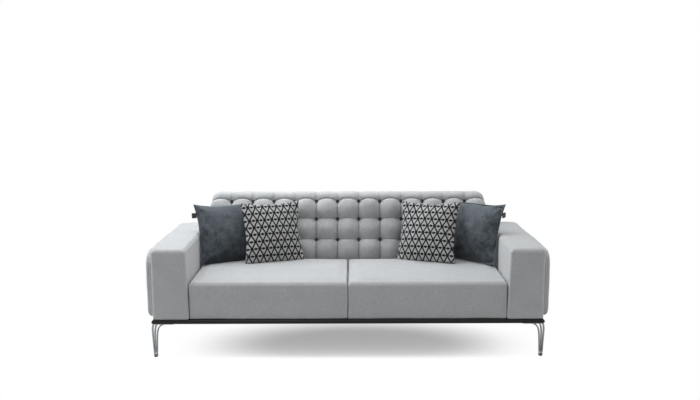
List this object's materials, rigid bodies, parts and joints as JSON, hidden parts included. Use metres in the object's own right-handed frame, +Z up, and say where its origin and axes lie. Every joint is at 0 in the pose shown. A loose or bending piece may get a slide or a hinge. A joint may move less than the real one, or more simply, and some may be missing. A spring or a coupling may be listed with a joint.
{
  "type": "three-seat tufted sofa",
  "caption": "Square-armed sofa with a button-tufted back, padded sides, a black plinth, curved chrome legs and loose throw cushions that lift out.",
  "frame": {"origin": "on the floor, at the middle of the sofa's width and depth", "axes": "+X to the right as seen from the front, +Y to the rear, +Z up; the front faces -Y"},
  "size_m": [2.3006, 0.872, 0.8426],
  "materials": {
    "plinth_lacquer": "satin black lacquer",
    "chrome": "polished chrome plating",
    "black_plastic": "matte moulded plastic",
    "zinc_steel": "zinc-plated steel",
    "frame_timber": "sawn softwood and plywood",
    "dust_cloth": "thin non-woven cloth",
    "grey_fabric": "light grey woven upholstery over wadding",
    "button_fabric": "charcoal fabric-covered buttons",
    "foam": "upholstery foam",
    "felt": "needled felt",
    "webbing": "elastic webbing",
    "plain_fabric": "dark blue-grey velvet",
    "pattern_fabric": "woven black and off-white lattice of diamonds",
    "tag_fabric": "blank woven tag"
  },
  "bodies": {
    "sofa": {"base_front_rail": "plinth_lacquer", "base_rear_rail": "plinth_lacquer", "base_left_rail": "plinth_lacquer", "base_right_rail": "plinth_lacquer", "base_mid_rail": "plinth_lacquer", "base_cross_rails": "plinth_lacquer", "dust_cover": "dust_cloth", "leg_front_left": "chrome", "leg_front_right": "chrome", "leg_rear_left": "chrome", "leg_rear_right": "chrome", "leg_plates": "zinc_steel", "leg_screws": "zinc_steel", "leg_glides": "black_plastic", "arm_left_panels": "frame_timber", "arm_right_panels": "frame_timber", "arm_left_boards": "frame_timber", "arm_right_boards": "frame_timber", "arm_bolts": "zinc_steel", "arm_cover_left": "grey_fabric", "arm_cover_right": "grey_fabric", "arm_side_pad_left": "grey_fabric", "arm_side_pad_right": "grey_fabric", "corner_posts": "frame_timber", "corner_cover_left": "grey_fabric", "corner_cover_right": "grey_fabric", "seat_beams_left": "frame_timber", "seat_beams_right": "frame_timber", "seat_springs_left": "zinc_steel", "seat_springs_right": "zinc_steel", "seat_spring_clips": "zinc_steel", "seat_felt_left": "felt", "seat_felt_right": "felt", "seat_foam_left": "foam", "seat_foam_right": "foam", "seat_cover_left": "grey_fabric", "seat_cover_right": "grey_fabric", "back_raked_posts": "frame_timber", "back_rear_posts": "frame_timber", "back_top_board": "frame_timber", "back_webbing": "webbing", "back_rear_panel": "grey_fabric", "back_tufted_cushion": "grey_fabric", "back_buttons": "button_fabric"},
    "plain_cushion_left": {"cushion_plain_left": "plain_fabric", "cushion_tag_left": "tag_fabric"},
    "pattern_cushion_left": {"cushion_pattern_left": "pattern_fabric"},
    "pattern_cushion_right": {"cushion_pattern_right": "pattern_fabric"},
    "plain_cushion_right": {"cushion_plain_right": "plain_fabric", "cushion_tag_right": "tag_fabric"}
  },
  "joints": [
    {"name": "plain_cushion_left_lift", "type": "slide", "parent": "sofa", "child": "plain_cushion_left", "axis": [0, 0.2756, 0.9613], "range_m": [0, 0.3]},
    {"name": "pattern_cushion_left_lift", "type": "slide", "parent": "sofa", "child": "pattern_cushion_left", "axis": [0, 0.2756, 0.9613], "range_m": [0, 0.3]},
    {"name": "pattern_cushion_right_lift", "type": "slide", "parent": "sofa", "child": "pattern_cushion_right", "axis": [0, 0.2756, 0.9613], "range_m": [0, 0.3]},
    {"name": "plain_cushion_right_lift", "type": "slide", "parent": "sofa", "child": "plain_cushion_right", "axis": [0, 0.2756, 0.9613], "range_m": [0, 0.3]}
  ]
}
